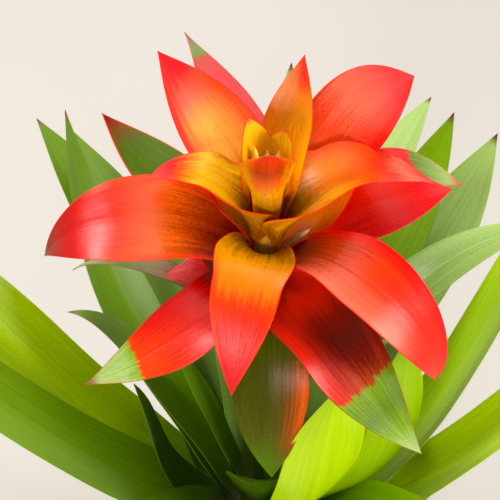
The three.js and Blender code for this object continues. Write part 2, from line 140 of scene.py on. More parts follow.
# Bracts, the youngest and innermost first. z and up count from HEAD_Z.
BRACTS = [
    dict(id="cup_front", az=-88, z=22, out=12.5, up=68, rise=80, fall=62, w=22.5,
         base=0.45, bulge=0.55, cup=110, mid=70, tipcup=-30, peak=0.78, hold=0.25, full=2.4, sharp=0.6),
    dict(id="cup_left", az=131, z=19, out=11, up=66.5, rise=84, fall=70, w=19,
         base=0.5, bulge=0.6, cup=100, mid=60, full=2.8, sharp=0.95),
    dict(id="cup_right", az=44, z=21, out=10.5, up=61, rise=84, fall=70, w=18,
         base=0.5, bulge=0.55, cup=110, mid=60, full=3, sharp=0.85),
    dict(id="upright", az=65, z=14, out=33.5, up=78, rise=82, fall=66, w=20.5,
         cup=90, mid=40, peak=0.55, full=1.8),
    dict(id="yellow_left", az=166, z=11, out=49, up=27, rise=84, fall=-60, w=25,
         cup=120, mid=45, bulge=1.7, hold=0.4, tilt=10, open=0.2, full=1.8, h0=0.66, h1=0.5),
    dict(id="orange_right", az=20, z=8, out=69, up=21, rise=76, fall=-42, w=30,
         cup=100, mid=42, side=-8, bulge=1.7, hold=0.34, h0=0.6, h1=0.48, open=0.25, tilt=-9),
    dict(id="back_left", az=115, z=5, out=70, up=55, rise=70, fall=30, w=31,
         cup=80, mid=25, side=15, tilt=-8),
    dict(id="front", az=252.5, z=2, out=52, up=-30, rise=70, fall=-72, w=28.5,
         cup=90, mid=35, peak=0.35, h0=0.5, full=1.6, side=2, bulge=1.15, tilt=-6, hold=0.12),
    dict(id="back_right", az=49, z=0, out=79, up=45, rise=44, fall=-16, w=33,
         cup=60, mid=25, peak=0.55, side=-10, full=2.7, tilt=24, h0=0.46),
    dict(id="front_right", az=-37, z=-8, out=76, up=-41, rise=68, fall=-105, w=30,
         cup=50, mid=20, side=14, h0=0.78, h1=0.5, bulge=0.66, tilt=12, hold=0.02, open=0.2, base=0.5),
    dict(id="left", az=178, z=-10, out=91, up=-15, rise=70, fall=-72, w=38,
         cup=90, mid=10, side=-6, h0=0.5, hold=0.02, open=0.2, bulge=0.8, base=0.5, peak=0.45, tilt=-16),
    dict(id="right_low", az=16.4, z=-12, out=82.6, up=2, rise=60, fall=-20, w=32,
         cup=80, mid=20, side=8, tilt=14),
    dict(id="back_tall", az=92, z=-15, out=89.5, up=37, rise=60, fall=10, w=25,
         cup=60, mid=30, side=31, full=1.7, sharp=1.3),
    dict(id="front_left", az=243, z=-18, out=69.5, up=-35, rise=54, fall=-40, w=29,
         cup=80, mid=10, side=-46, full=1.7, tilt=6),
    dict(id="front_low", az=-60, z=-22, out=82, up=-60, rise=68, fall=-55, w=34,
         cup=90, mid=10, side=26, full=1.8),
    dict(id="right_green", az=36.5, z=-26, out=95.8, up=-14, rise=52, fall=-48, w=27,
         cup=80, mid=20, side=-12, tilt=22, h0=0.66),
    dict(id="left_under", az=172, z=-29, out=42, up=-24, rise=60, fall=-40, w=18,
         cup=60, mid=20),
    dict(id="left_green", az=138, z=-34, out=98, up=8, rise=60, fall=15, w=33,
         cup=60, mid=30, side=-5, tilt=10),
    dict(id="right_olive", az=-5, z=-39, out=60, up=-50, rise=62, fall=-30, w=30,
         cup=60, mid=20),
    dict(id="front_olive", az=-87, z=-43, out=51, up=-89, rise=68, fall=-80, w=32,
         cup=60, mid=20, h0=0.6),
    dict(id="left_thin", az=164, z=-50, out=86, up=-42, rise=62, fall=-54, w=10,
         cup=60, mid=40, full=1.6, h0=0.28),
]

# Leaves, the youngest and innermost first. up counts from the floor.
LEAVES = [
    dict(az=185, out=38, up=278, rise=80, fall=74, w=26),
    dict(az=-25, out=58, up=300, rise=40, fall=92, w=30, side=20, tilt=-40),
    dict(az=-98, out=42, up=235, rise=84, fall=50, w=30),
    dict(az=-60, out=48, up=304, rise=56, fall=90, w=45, side=6, full=3),
    dict(az=172, out=86, up=289, rise=70, fall=-15, w=22, h0=0.6, h1=0.15),
    dict(az=26, out=146, up=288, rise=80, fall=-20, w=30, tilt=-12),
    dict(az=158, out=115, up=335, rise=68, fall=74, w=34, side=-50, full=1.9),
    dict(az=100, out=130, up=320, rise=78, fall=55, w=36),
    dict(az=52, out=143, up=310, rise=75, fall=60, w=36),
    dict(az=-38, out=160, up=165, rise=70, fall=-55, w=40, h0=0.6),
    dict(az=226, out=165, up=175, rise=66, fall=-50, w=40),
    dict(az=128, out=148, up=295, rise=71, fall=45, w=38),
    dict(az=45, out=154, up=300, rise=66, fall=62, w=42),
    dict(az=184, out=58, up=250, rise=46, fall=76, w=24, side=-6),
    dict(az=0, out=140, up=310, rise=40, fall=60, w=34, side=90, h0=0.4),
    dict(az=191, out=175, up=338, rise=46, fall=55, w=42, side=-30, h0=0.45),
    dict(az=85, out=157, up=300, rise=70, fall=30, w=34),
    dict(az=-93, out=160, up=170, rise=70, fall=-60, w=40, h0=0.5),
    dict(az=62.4, out=182, up=272, rise=55, fall=-10, w=26),
    dict(az=-16, out=160, up=305, rise=44, fall=50, w=38, side=60, h0=0.45),
    dict(az=170.8, out=184.6, up=326, rise=46, fall=46, w=44, side=-20, h0=0.45, tilt=-6),
    dict(az=128.6, out=177, up=280, rise=58, fall=20, w=32),
    dict(az=244, out=165, up=160, rise=62, fall=-60, w=40),
    dict(az=76, out=170, up=285, rise=46, fall=0, w=28),
    dict(az=-39.4, out=183, up=152, rise=50, fall=-45, w=42),
]


# Colours
YELLOW = 0xf6c400
GOLD = 0xf0a200
AMBER = 0xee8400
ORANGE = 0xf06400
FLAME = 0xf04000
SCARLET = 0xee2200
RED = 0xec0a00
CRIMSON = 0xea0812
ROSE = 0xec3a3e
SALMON = 0xf46e50
PEACH = 0xf8a83c
GARNET = 0xc40e04
RUST = 0xb83c00
OCHRE = 0xb87c00
BRONZE = 0x8c4e00
MAROON = 0x8e1400
UMBER = 0x681604
WINE = 0x4c1204
SPECK = 0x1e0c02
STRAW = 0xb4a888
TAN = 0x8a6448
FOREST = 0x527400
MOSSY = 0x648a00
GRASS = 0x84ae00
BRIGHT = 0x96ba00
LIME = 0xb4d600
SAGE = 0x74943c
MIST = 0xa8c870
OLIVE = 0x525800
PALE_SHEATH = 0xc0c890
GRIT = 0xcab8a0
WHITE = 0xffffff
FLOWER_COLORS = (0xf4c000, 0xfff060)
SIDE_BUD_COLORS = (0xd8a860, 0xeccb8a)
FLOOR_COLORS = {0.3: 0xbeb9b3, 0.7: 0xc3beb8}

# How a blade is coloured. along: colours from its base to its tip; bands: (colour, side of the
# blade or 0 for both, how far in, from and to which part of the length); tip: (where it starts,
# how ragged, its own colours along the blade); specks: (from, to, share); margin: (colour, mm).
# feather, drift and fray: how far noise shifts the colours; vein_share, grit and patch_share: how
# strongly veins, grain and patches darken them. glow is the light that passes through the skin.
LOOK = dict(bands=(), tip=None, specks=None, margin=None, veins=70,
            feather=0.16, drift=0.08, dark_vein=0xb89c90, vein_share=0.5, patch=0xd8c4bc,
            patch_share=0.35, fray=0.1, grit=0.35, rough=0.27, shine=0.22, glow=0.25, relief=0.5)
BRACT_LOOKS = {
    "cup_front": dict(
        along={0.25: OCHRE, 0.4: GOLD, 0.52: ORANGE, 0.66: RUST, 0.85: FLAME, 1: ROSE},
        bands=[(GOLD, 0, 0.6, 0.2, 1.1)], margin=(FLAME, 0.2), specks=(0.3, 0.55, 0.4)),
    "cup_left": dict(
        along={0.2: OCHRE, 0.4: GOLD, 0.5: YELLOW, 0.95: YELLOW, 1: ROSE}, vein_share=0.25,
        margin=(SCARLET, 0.2), specks=(0.45, 0.95, 0.06), patch=0xfce070),
    "cup_right": dict(
        along={0.2: OCHRE, 0.45: GOLD, 0.6: YELLOW, 0.94: YELLOW, 1: ROSE}, vein_share=0.25,
        margin=(SCARLET, 0.2), specks=(0.55, 0.92, 0.5), patch=0xfce070),
    "upright": dict(
        along={0.2: OCHRE, 0.32: GOLD, 0.6: GOLD, 0.78: AMBER, 0.85: FLAME, 0.95: SCARLET},
        bands=[(AMBER, 1, 0.7, 0.3, 0.9)], margin=(FLAME, 0.2), patch=0xf0a040),
    "yellow_left": dict(
        along={0.1: BRONZE, 0.27: OCHRE, 0.4: YELLOW, 0.58: YELLOW, 0.68: ORANGE, 0.76: CRIMSON,
               1: ROSE},
        bands=[(OCHRE, 0, 0.35, 0.2, 0.5)], margin=(SCARLET, 0.3), patch=0xe8b048, vein_share=0.35),
    # orange_right: the salmon near its tip is a painted highlight, the pink gloss there.
    "orange_right": dict(
        along={0.1: BRONZE, 0.28: OCHRE, 0.38: AMBER, 0.52: ORANGE, 0.64: FLAME, 0.7: SCARLET,
               0.8: SALMON, 0.92: CRIMSON},
        bands=[(FLAME, 1, 0.3, 0.2, 0.6), (GOLD, -1, 0.4, 0.2, 0.5)], margin=(SCARLET, 0.25),
        specks=(0.2, 0.45, 0.1), shine=0.15),
    "back_left": dict(
        along={0.2: GOLD, 0.45: PEACH, 0.6: PEACH, 0.72: SALMON, 0.86: CRIMSON},
        bands=[(FLAME, -1, 0.6, 0.2, 0.8), (SCARLET, 1, 0.3, 0.2, 1.1)], margin=(RED, 0.25)),
    "front": dict(
        along={0.12: OCHRE, 0.2: GOLD, 0.36: AMBER, 0.45: FLAME, 0.57: SCARLET, 0.85: CRIMSON},
        bands=[(FLAME, 0, 0.25, 0.3, 1.1)], margin=(SCARLET, 0.2), specks=(0.3, 0.42, 0.04),
        patch=0xf0c898, vein_share=0.3),
    "back_right": dict(
        along={0.2: AMBER, 0.42: ORANGE, 0.55: FLAME, 0.7: SALMON, 0.88: ROSE},
        bands=[(RED, -1, 0.5, 0.45, 1.1)], margin=(RED, 0.2)),
    "front_right": dict(
        along={0.1: BRONZE, 0.25: RUST, 0.4: FLAME, 0.55: SCARLET},
        bands=[(RED, 1, 0.3, 0.1, 1.1), (SALMON, -1, 0.6, 0.25, 0.7)], margin=(RED, 0.25),
        tip=(0.95, 0.08, {0.95: WINE, 0.97: SAGE, 0.99: WINE})),
    # left: the maroon at its base is painted shade, the shade where the blade leaves the stalk among the
    # other bracts.
    "left": dict(
        along={0.15: MAROON, 0.27: RUST, 0.42: ORANGE, 0.54: FLAME, 0.66: RED, 0.8: GARNET,
               0.93: MAROON},
        bands=[(FLAME, 0, 0.3, 0.2, 0.7)], margin=(SCARLET, 0.25), shine=0.25, rough=0.23,
        tip=(0.96, 0.06, {0.96: WINE, 1: MOSSY})),
    "right_low": dict(
        along={0.2: FLAME, 0.4: RED, 0.6: SCARLET, 0.8: CRIMSON, 0.95: ROSE},
        bands=[(CRIMSON, -1, 0.5, 0.5, 1.1)], margin=(ROSE, 0.2)),
    "back_tall": dict(
        along={0.5: ROSE, 0.75: CRIMSON, 0.9: RUST}, margin=(CRIMSON, 0.2),
        tip=(0.86, 0.06, {0.86: MOSSY, 0.9: SAGE, 0.97: TAN, 1: WINE}), shine=0.5),
    "front_left": dict(
        along={0.2: MAROON, 0.32: RED, 0.5: SCARLET, 0.7: FLAME}, margin=(RUST, 0.25),
        bands=[(RED, -1, 0.5, 0.3, 0.7)],
        tip=(0.73, 0.08, {0.73: GRASS, 0.8: MIST, 0.92: MIST, 0.97: TAN})),
    "front_low": dict(
        along={0.1: FLAME, 0.22: SCARLET, 0.32: MAROON, 0.42: UMBER, 0.52: MAROON, 0.62: RUST},
        bands=[(SCARLET, -1, 0.5, 0.15, 0.9)], margin=(MAROON, 0.2),
        tip=(0.62, 0.16, {0.6: GRASS, 0.75: MOSSY, 0.86: GRASS, 0.95: MIST})),
    "right_green": dict(
        along={0.3: RED, 0.6: ROSE}, margin=(ROSE, 0.2),
        tip=(0.72, 0.08, {0.72: SAGE, 0.9: MIST, 0.97: ROSE})),
    "left_under": dict(along={0.2: RED, 0.7: ROSE}),
    "left_green": dict(
        along={0.2: RUST, 0.5: SCARLET}, margin=(SCARLET, 0.5), shine=0.15,
        tip=(0.53, 0.12, {0.5: MOSSY, 0.8: FOREST, 0.95: MAROON, 1: WINE})),
    "right_olive": dict(along={0.2: BRONZE, 0.45: OLIVE}, glow=0.1, shine=0.1),
    # front_olive: its dark olive is the bract's green darkened by painted shade, and the bronze and
    # orange bands along one edge are painted light shining through the blade.
    "front_olive": dict(
        along={0.1: FOREST, 0.35: OLIVE, 0.7: OLIVE, 0.9: FOREST}, shine=0.1,
        bands=[(BRONZE, 1, 0.6, 0.35, 0.85), (ORANGE, 1, 0.3, 0.4, 0.75)], glow=0.1),
    "left_thin": dict(
        along={0.2: RED, 0.38: ROSE, 0.5: STRAW, 0.7: SAGE, 0.95: STRAW}, margin=(TAN, 0.3)),
}
LEAF_LOOK = dict(veins=46, feather=0.1, drift=0.1, dark_vein=0xc4ccb0, vein_share=0.35,
                 patch=0xb4bc98, patch_share=0.25, fray=0.06, grit=0.2, rough=0.32, shine=0.2,
                 glow=0.12, relief=0.3)
# A leaf's green and the one near its tip. They are partly the leaf's own colour and partly painted light
# and shade: the pale lime greens stand for well-lit leaves and the dark forest greens for leaves in
# shade.
LEAF_GREENS_AND_LIGHT = [
    (FOREST, MOSSY), (BRIGHT, BRIGHT), (FOREST, FOREST), (LIME, LIME), (MOSSY, SAGE),
    (SAGE, MIST), (MOSSY, MOSSY), (SAGE, MIST), (MOSSY, GRASS), (GRASS, GRASS),
    (MOSSY, GRASS), (SAGE, SAGE), (MIST, MIST), (FOREST, MOSSY), (BRIGHT, LIME),
    (GRASS, GRASS), (SAGE, MIST), (MOSSY, GRASS), (MIST, MIST), (LIME, BRIGHT),
    (LIME, MIST), (MOSSY, MOSSY), (MOSSY, GRASS), (GRASS, BRIGHT), (GRASS, GRASS),
]


# Numbers and curves
def smooth(a, b, x):
    t = np.clip((x - a) / (b - a), 0, 1)
    return t * t * (3 - 2 * t)


def keyed(keys, s):
    total = np.full_like(s, keys[0][1], dtype=float)
    for (before, low), (at, high) in zip(keys, keys[1:]):
        total += (high - low) * smooth(before, at, s)
    return total


def unit(v):
    return v / np.maximum(np.linalg.norm(v, axis=-1, keepdims=True), 1e-12)


def turned(points, degrees):
    """Points turned about +Z."""
    c, s = math.cos(math.radians(degrees)), math.sin(math.radians(degrees))
    return points @ np.array([[c, s, 0], [-s, c, 0], [0, 0, 1]])


def bezier(p, t):
    t = t[:, None]
    place = (1 - t) ** 3 * p[0] + 3 * t * (1 - t) ** 2 * p[1] + 3 * t * t * (1 - t) * p[2] + t ** 3 * p[3]
    slope = (1 - t) ** 2 * (p[1] - p[0]) + 2 * t * (1 - t) * (p[2] - p[1]) + t * t * (p[3] - p[2])
    return place, unit(slope)


# Blades
def leaf_base(k):
    f = 1 - k / (len(LEAVES) - 1)
    z = CAUDEX_LOW[0] + (CAUDEX_HIGH[0] - 3 - CAUDEX_LOW[0]) * f
    share = (z - CAUDEX_LOW[0]) / (CAUDEX_HIGH[0] - CAUDEX_LOW[0])
    radius = CAUDEX_LOW[1] + (CAUDEX_HIGH[1] - CAUDEX_LOW[1]) * share
    return dict(z=z, r0=radius + LEAF_THICK / 2 + FACET_ROOM)


def all_blades():
    blades = []
    for b in BRACTS:
        place = dict(z=HEAD_Z + b["z"], up=HEAD_Z + b["up"],
                     r0=SCAPE_R + BRACT_THICK / 2 + FACET_ROOM)
        blades.append({**BLADE, **b, **place, "node": "bract_" + b["id"], "thick": BRACT_THICK})
    for k, b in enumerate(LEAVES):
        young = YOUNG_BASE if k < YOUNG else {}
        name = f"leaf_{k + 1:02d}"
        blades.append({**BLADE, **LEAF, **young, **b, **leaf_base(k),
                       "id": name, "node": name, "thick": LEAF_THICK})
    return blades


def blade_width(b, s):
    sheath = keyed([(0, b["base"]), (0.2, b["bulge"]), (max(b["peak"], 0.35), 1)], s)
    past = np.clip((s - b["peak"]) / (1 - b["peak"]), 0, 1)
    return b["w"] * sheath * np.maximum(1 - past ** b["full"], 0) ** b["sharp"]


def blade_rib(b, s):
    """Points and directions of a blade's midrib, at parts s of its length."""
    rise, fall = math.radians(b["rise"]), math.radians(b["fall"])
    chord = math.hypot(b["out"] - b["r0"], b["up"] - b["z"])
    p = np.array([
        [b["r0"], 0, b["z"]],
        [b["r0"] + b["h0"] * chord * math.cos(rise), 0, b["z"] + b["h0"] * chord * math.sin(rise)],
        [b["out"] - b["h1"] * chord * math.cos(fall), b["side"] / 3,
         b["up"] - b["h1"] * chord * math.sin(fall)],
        [b["out"], b["side"], b["up"]]])
    even = np.linspace(0, 1, 401)
    steps = np.linalg.norm(np.diff(bezier(p, even)[0], axis=0), axis=1)
    run = np.concatenate([[0], np.cumsum(steps)])
    place, slope = bezier(p, np.interp(s * run[-1], run, even))
    return place, slope, run[-1]


def blade_surface(b, s, t):
    """Middle surface of a blade as a grid of points, s from base to tip and t from edge to edge."""
    at, along, length = blade_rib(b, s)
    across = unit(np.array([0, 1, 0]) - along * along[:, 1:2])
    inward = np.cross(along, across)
    width = blade_width(b, s)
    clasp = np.minimum(width * np.maximum(along[:, 2], 0.35) / np.maximum(at[:, 0], 3),
                       math.radians(300))
    free = np.radians(keyed([(b["hold"], b["cup"]), (max(b["hold"] + b["open"], 0.65), b["mid"]),
                             (1, b["tipcup"])], s))
    opened = smooth(b["hold"], b["hold"] + b["open"], s)
    arc = clasp * (1 - opened) + free * opened
    arc = np.where(np.abs(arc) < 1e-3, 1e-3, arc)
    radius = (width / arc)[:, None]
    angle = arc[:, None] * t[None, :] / 2
    lateral = radius * np.sin(angle)
    normal = radius * (1 - np.cos(angle)) + blade_relief(b, s, t, width)
    lean = (math.radians(b["tilt"]) * smooth(0, 0.35, s))[:, None]
    sideways = lateral * np.cos(lean) - normal * np.sin(lean)
    upward = lateral * np.sin(lean) + normal * np.cos(lean)
    points = at[:, None] + sideways[..., None] * across[:, None] + upward[..., None] * inward[:, None]
    return points, width, length


def blade_relief(b, s, t, width):
    """Small waves of the edges and the shallow channel along the middle, in millimetres."""
    draw = random.Random(b["node"])
    free = smooth(0.2, 0.5, s) * (1 - smooth(0.9, 1, s))
    relief = np.zeros((len(s), len(t)))
    for side in (-1, 1):
        waves = draw.uniform(1.5, 3.2)
        phase = draw.uniform(0, 2 * math.pi)
        deep = draw.uniform(0.2, 0.45) * width / 30 * free
        edge = smooth(0.35, 1, side * t)
        relief += (deep * np.sin(2 * math.pi * waves * s + phase))[:, None] * edge[None, :]
    channel = CHANNEL[0] * np.exp(-(t / CHANNEL[1]) ** 2)
    return relief - (width / 40 * smooth(0.15, 0.4, s))[:, None] * channel[None, :]


def blade_piece(b, material):
    s = 1 - (1 - np.linspace(0, 1, BLADE_LONG + 1)[:-1]) ** 1.15
    t = np.sin(np.linspace(-1, 1, BLADE_WIDE + 1) * math.pi / 2)
    middle, width, length = blade_surface(b, s, t)
    normal = unit(np.cross(np.gradient(middle, axis=0), np.gradient(middle, axis=1)))
    thick = b["thick"] * (EDGE_THIN + (1 - EDGE_THIN) * (1 - np.abs(t) ** 3))
    thick = thick[None, :] * (1 - TIP_THINNING * smooth(0.5, 1, s))[:, None]
    upper = middle + normal * thick[..., None] / 2
    lower = middle - normal * thick[..., None] / 2
    outward = unit(middle[:, 0] - middle[:, 1]), unit(middle[:, -1] - middle[:, -2])
    rim = [middle[:, k] + outward[k] * thick[:, k, None] * RIM_OUT for k in (0, -1)]
    ring = np.concatenate([upper, rim[1][:, None], lower[:, ::-1], rim[0][:, None]], axis=1)
    tip, _, _ = blade_surface(b, np.array([0.999, 1.0]), np.array([0.0]))
    points = np.concatenate([ring.reshape(-1, 3), tip[1]])
    around = ring.shape[1]
    faces = grid_faces(len(s), around)
    last = (len(s) - 1) * around
    faces += [(last + k, last + (k + 1) % around, len(points) - 1) for k in range(around)]
    faces.append(tuple(range(around - 1, -1, -1)))
    ring_t = np.concatenate([t, [1], t[::-1], [-1]])
    place = np.stack(np.broadcast_arrays((ring_t[None, :] + 1) / 2, s[:, None]), axis=-1)
    edge = np.minimum(1 - np.abs(ring_t[None, :]), 1) * width[:, None] / 2
    size = np.stack(np.broadcast_arrays(edge, s[:, None] * length), axis=-1) / 100
    maps = {"Place": np.concatenate([place.reshape(-1, 2), [[0.5, 1]]]),
            "Size": np.concatenate([size.reshape(-1, 2), [[0, length / 100]]])}
    return add_piece(b["node"] + "_blade", turned(points, b["az"]), faces, material, maps)


def grid_faces(rows, around):
    """Quads between rows of points that run round a section."""
    faces = []
    for i in range(rows - 1):
        for k in range(around):
            a, b = i * around + k, i * around + (k + 1) % around
            faces.append((a, a + around, b + around, b))
    return faces


def add_piece(name, points, faces, material, maps=None):
    """A mesh in metres from points in millimetres, with the UV maps given for each point."""
    mesh = bpy.data.meshes.new(name)
    mesh.from_pydata((np.asarray(points) * MM).tolist(), [], faces)
    corner = np.empty(len(mesh.loops), dtype=np.int32)
    mesh.loops.foreach_get("vertex_index", corner)
    for label, values in (maps or {}).items():
        layer = mesh.uv_layers.new(name=label)
        layer.uv.foreach_set("vector", np.asarray(values, dtype=np.float32)[corner].ravel())
    mesh.polygons.foreach_set("use_smooth", [True] * len(mesh.polygons))
    mesh.materials.append(material)
    mesh.update()
    return placed(name, mesh)


def placed(name, data):
    """A new object in the scene."""
    thing = bpy.data.objects.new(name, data)
    bpy.context.scene.collection.objects.link(thing)
    return thing


def dress(piece, node):
    """Puts the piece under the root body and hides the node that it stands for."""
    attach(piece, "root")
    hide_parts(node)


# Materials
def linear(color):
    """An sRGB colour such as 0xe6301a as the linear colour of a shader."""
    parts = [(color >> shift & 255) / 255 for shift in (16, 8, 0)]
    return [p / 12.92 if p <= 0.04045 else ((p + 0.055) / 1.055) ** 2.4 for p in parts] + [1]


class Skin:
    """A Principled material, with short calls that add nodes and return their output."""

    def __init__(self, name, rough=0.4, shine=0.4):
        self.material = bpy.data.materials.new(name)
        self.material.use_nodes = True
        self.tree = self.material.node_tree
        self.shader = self.tree.nodes["Principled BSDF"]
        self.shader.inputs["Roughness"].default_value = rough
        self.shader.inputs["Specular IOR Level"].default_value = shine

    def put(self, socket, value):
        if isinstance(value, bpy.types.NodeSocket):
            self.tree.links.new(value, socket)
        else:
            socket.default_value = value

    def node(self, kind, values, result=0, **settings):
        node = self.tree.nodes.new("ShaderNode" + kind)
        for key, value in settings.items():
            setattr(node, key, value)
        for key, value in values.items():
            self.put(node.inputs[key], value)
        return node.outputs[result]

    def finish(self, **values):
        for key, value in values.items():
            self.put(self.shader.inputs[key.replace("_", " ")], value)
        return self.material

    def uv(self, name):
        return self.node("UVMap", {}, uv_map=name)

    def place(self):
        return self.node("TexCoord", {}, result="Object")

    def split(self, vector):
        node = self.tree.nodes.new("ShaderNodeSeparateXYZ")
        self.put(node.inputs[0], vector)
        return node.outputs

    def calc(self, operation, a, b=0.0, c=0.0):
        return self.node("Math", {0: a, 1: b, 2: c}, operation=operation)

    def scaled(self, vector, factors, shift=0.0):
        shift = (shift, shift * 1.7, shift * 2.3)
        return self.node("VectorMath", {0: vector, 1: factors, 2: shift}, operation="MULTIPLY_ADD")

    def noise(self, vector, scale=1.0, detail=2.0, rough=0.5):
        return self.node("TexNoise", {"Vector": vector, "Scale": scale, "Detail": detail,
                                      "Roughness": rough})

    def swing(self, value, reach):
        """Noise about 0.5 as a number about 0, between minus and plus half the reach."""
        return self.calc("MULTIPLY_ADD", value, reach, -reach / 2)

    def step(self, value, low, high):
        return self.node("MapRange", {"Value": value, "From Min": low, "From Max": high},
                         interpolation_type="SMOOTHSTEP")

    def mix(self, share, a, b, blend="MIX"):
        return self.node("Mix", {0: share, 6: a, 7: b}, result=2, data_type="RGBA", blend_type=blend)

    def ramp(self, value, stops):
        node = self.tree.nodes.new("ShaderNodeValToRGB")
        self.put(node.inputs[0], value)
        places = sorted(stops)
        bar = node.color_ramp.elements
        while len(bar) < len(places):
            bar.new(0.5)
        for element, at in zip(bar, places):
            element.position = at
            element.color = linear(stops[at])
        return node.outputs[0]

    def shaded(self, share, color, value, low, tint, high):
        """A share of the tint laid over the colour at low values, and none of it at high ones."""
        return self.mix(share, color, self.ramp(value, {low: tint, high: WHITE}), "MULTIPLY")

    def bump(self, height, strength, distance=0.0003):
        normal = self.node("Bump", {"Height": height, "Strength": strength, "Distance": distance})
        self.put(self.shader.inputs["Normal"], normal)


def blade_skin(name, look, width, length):
    """Colours that run along a blade, its veins, its margin, specks and a green or dry tip."""
    skin = Skin(name, shine=look["shine"])
    seed = random.Random(name).uniform(0, 60)
    place = skin.uv("Place")
    u, v, _ = skin.split(place)
    edge, _, _ = skin.split(skin.scaled(skin.uv("Size"), (100, 100, 0)))
    fine = skin.noise(skin.scaled(place, (look["veins"], 3.5, 0), seed), detail=3, rough=0.65)
    grains = (width / GRIT_ROOM[0], length / GRIT_ROOM[1], 0)
    grit = skin.noise(skin.scaled(place, grains, seed + 31), detail=2, rough=0.6)
    broad = skin.noise(skin.scaled(place, (18, 1.3, 0), seed + 5), detail=2)
    cloud = skin.noise(skin.scaled(place, (3.2, 2.6, 0), seed + 9), detail=2)
    drift = skin.calc("ADD", skin.swing(broad, look["feather"]), skin.swing(cloud, look["drift"]))
    drift = skin.calc("ADD", drift, skin.swing(fine, look["fray"]))
    drift = skin.calc("ADD", drift, skin.swing(grit, look["fray"] * 1.4))
    along = skin.calc("ADD", v, drift)
    color = skin.ramp(along, look["along"])
    out = skin.calc("ABSOLUTE", skin.calc("MULTIPLY_ADD", u, 2.0, -1.0))
    for tint, side, reach, low, high in look["bands"]:
        across = {0: out, 1: u, -1: skin.calc("SUBTRACT", 1.0, u)}[side]
        near = skin.step(skin.calc("ADD", across, skin.swing(broad, 0.3)), 1 - reach, 1.0)
        there = skin.calc("MULTIPLY", skin.step(along, low - 0.08, low + 0.08),
                          skin.step(along, high + 0.08, high - 0.08))
        color = skin.mix(skin.calc("MULTIPLY", near, there), color, linear(tint))
    if look["tip"]:
        start, jag, tips = look["tip"]
        ragged = skin.noise(skin.scaled(place, (13, 2.5, 0), seed + 21), detail=4, rough=0.7)
        past = skin.calc("ADD", v, skin.swing(ragged, jag))
        color = skin.mix(skin.step(past, start - 0.008, start + 0.012), color,
                         skin.ramp(skin.calc("ADD", v, skin.swing(fine, 0.12)), tips))
    color = skin.shaded(look["vein_share"], color, fine, 0.3, look["dark_vein"], 0.5)
    color = skin.shaded(look["grit"], color, grit, 0.36, GRIT, 0.58)
    color = skin.shaded(look["patch_share"], color, broad, 0.35, look["patch"], 0.65)
    if look["specks"]:
        low, high, share = look["specks"]
        cells = (width / SPECK_ROOM[0], length / SPECK_ROOM[1], 0)
        spots = speck_mask(skin, skin.scaled(place, cells, seed), v, low, high, share)
        color = skin.mix(spots, color, linear(SPECK))
    if look["margin"]:
        margin, wide = look["margin"]
        close = skin.step(skin.calc("ADD", edge, skin.swing(broad, wide)), wide, wide * 0.4)
        color = skin.mix(close, color, linear(margin))
    ribs = skin.calc("ADD", skin.calc("MULTIPLY", fine, 0.6), skin.calc("MULTIPLY", broad, 0.5))
    skin.bump(ribs, look["relief"])
    rough = skin.calc("ADD", look["rough"], skin.swing(fine, 0.16))
    return skin.finish(Base_Color=color, Roughness=rough, Subsurface_Weight=look["glow"],
                       Subsurface_Radius=(1.0, 0.5, 0.2), Subsurface_Scale=0.0018)


def speck_mask(skin, spots, v, low, high, share):
    """Small dark specks, stretched along the blade, between two places of its length."""
    cells = skin.tree.nodes.new("ShaderNodeTexVoronoi")
    skin.put(cells.inputs["Vector"], spots)
    cells.inputs["Scale"].default_value = 1.0
    chance = skin.split(cells.outputs["Color"])[0]
    chosen = skin.calc("GREATER_THAN", chance, 1 - share)
    spot = skin.step(cells.outputs["Distance"], 0.17, 0.1)
    there = skin.calc("MULTIPLY", skin.step(v, low, low + 0.03), skin.step(v, high, high - 0.03))
    return skin.calc("MULTIPLY", skin.calc("MULTIPLY", spot, chosen), there)


def stalk_skin():
    skin = Skin("stalk_skin", rough=0.42)
    place = skin.place()
    streaks = skin.noise(skin.scaled(place, (420, 420, 14)), detail=3)
    height = skin.split(place)[2]
    color = skin.ramp(skin.step(skin.calc("ADD", height, skin.swing(streaks, 0.02)), 0.12, 0.36),
                      {0: 0x8a6a3a, 0.2: 0x7d9a3c, 0.7: 0x96a43c, 1: 0xc89a20})
    color = skin.shaded(0.5, color, streaks, 0.3, 0x9a9a80, 0.6)
    skin.bump(streaks, 0.3)
    return skin.finish(Base_Color=color, Subsurface_Weight=0.1, Subsurface_Scale=0.002)


def flower_skin(name, low, high):
    skin = Skin(name, rough=0.36)
    place = skin.place()
    veins = skin.noise(skin.scaled(place, (900, 900, 60)), detail=3)
    rise = skin.split(place)[2]
    base = (HEAD_Z if "side" in name else HEAD_Z + STEM_TOP) * MM
    along = skin.step(skin.calc("ADD", rise, skin.swing(veins, 0.006)), base, base + 0.028)
    color = skin.shaded(0.35, skin.ramp(along, {0: low, 0.6: high}), veins, 0.35, 0xf4dc98, 0.6)
    skin.bump(veins, 0.25)
    return skin.finish(Base_Color=color, Subsurface_Weight=0.15, Subsurface_Scale=0.002)


def moss_skin():
    skin = Skin("moss_skin", rough=0.85, shine=0.25)
    tone, rise, _ = skin.split(skin.uv("Tuft"))
    place = skin.place()
    patches = skin.noise(place, scale=28, detail=3)
    grain = skin.noise(place, scale=900, detail=3, rough=0.7)
    leaf = skin.ramp(skin.calc("ADD", skin.calc("MULTIPLY", tone, 0.6), skin.swing(patches, 1.2)),
                     {0.0: 0x5a6e1c, 0.25: 0x7c9c2a, 0.5: 0x9aba34, 0.75: 0xbcc84c, 1: 0xb49c50})
    shade = skin.ramp(skin.calc("ADD", rise, skin.swing(grain, 0.3)),
                      {0: 0x6a6246, 0.4: 0xc0c8a8, 0.95: WHITE})
    color = skin.mix(1.0, leaf, shade, "MULTIPLY")
    skin.bump(grain, 0.8, 0.001)
    return skin.finish(Base_Color=color, Sheen_Weight=0.15)


